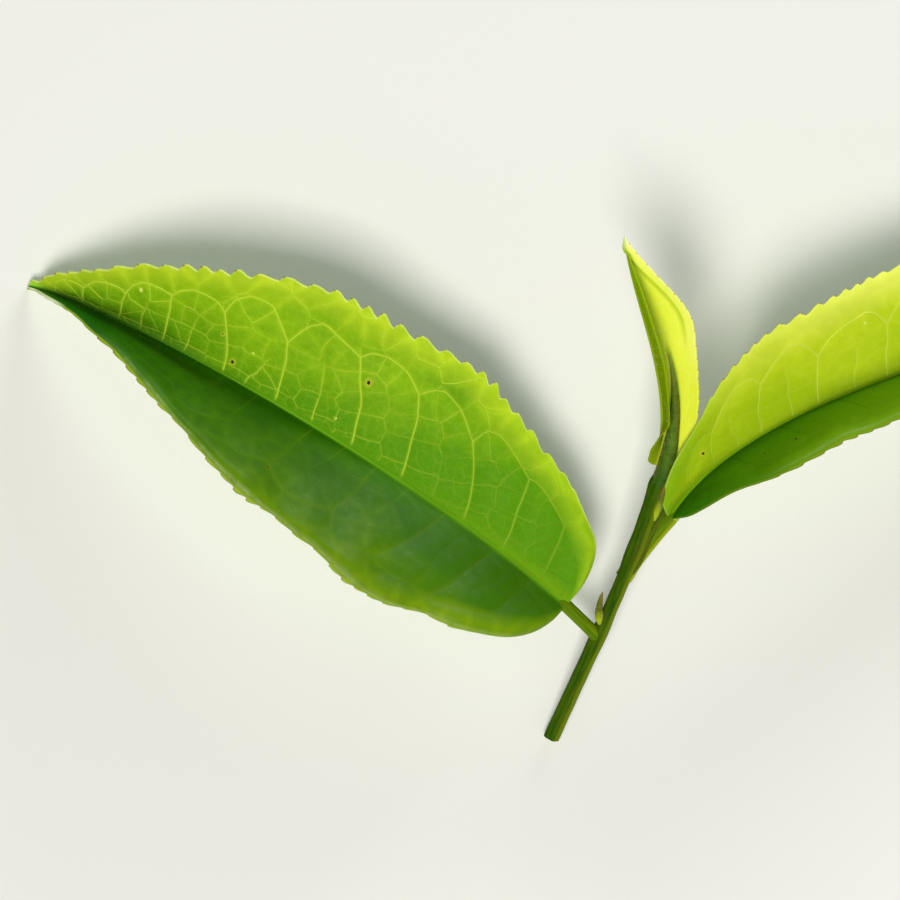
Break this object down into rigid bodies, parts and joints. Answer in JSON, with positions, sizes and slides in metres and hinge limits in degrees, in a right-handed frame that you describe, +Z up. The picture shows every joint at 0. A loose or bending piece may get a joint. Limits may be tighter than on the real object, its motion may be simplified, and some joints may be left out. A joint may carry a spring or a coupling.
{
  "type": "tea shoot",
  "caption": "Freshly cut tea shoot lying on its leaf tips and cut stem: toothed open leaves folded along the midrib, a slim young leaf and a pointed bud.",
  "frame": {"origin": "under the middle of the shoot's bounding box, on the level surface that it lies on", "axes": "+X along the spread of the open leaves, +Y from the cut end of the stem towards the tip of the shoot, +Z up from the surface"},
  "size_m": [0.1416, 0.061, 0.0235],
  "materials": {
    "green_stem": "smooth fresh green bark, faintly ribbed, satin",
    "open_leaf": "glossy waxy leaf skin with a sunken net of pale veins",
    "young_leaf": "soft pale yellow-green leaf with fine silvery down",
    "bud": "silky bud scales with fine silvery down"
  },
  "bodies": {
    "root": {"stem": "green_stem", "leaf_lower": "open_leaf", "leaf_upper": "open_leaf", "young_leaf": "young_leaf", "terminal_bud": "bud", "axillary_bud_upper": "bud", "axillary_bud_lower": "bud"}
  },
  "joints": []
}
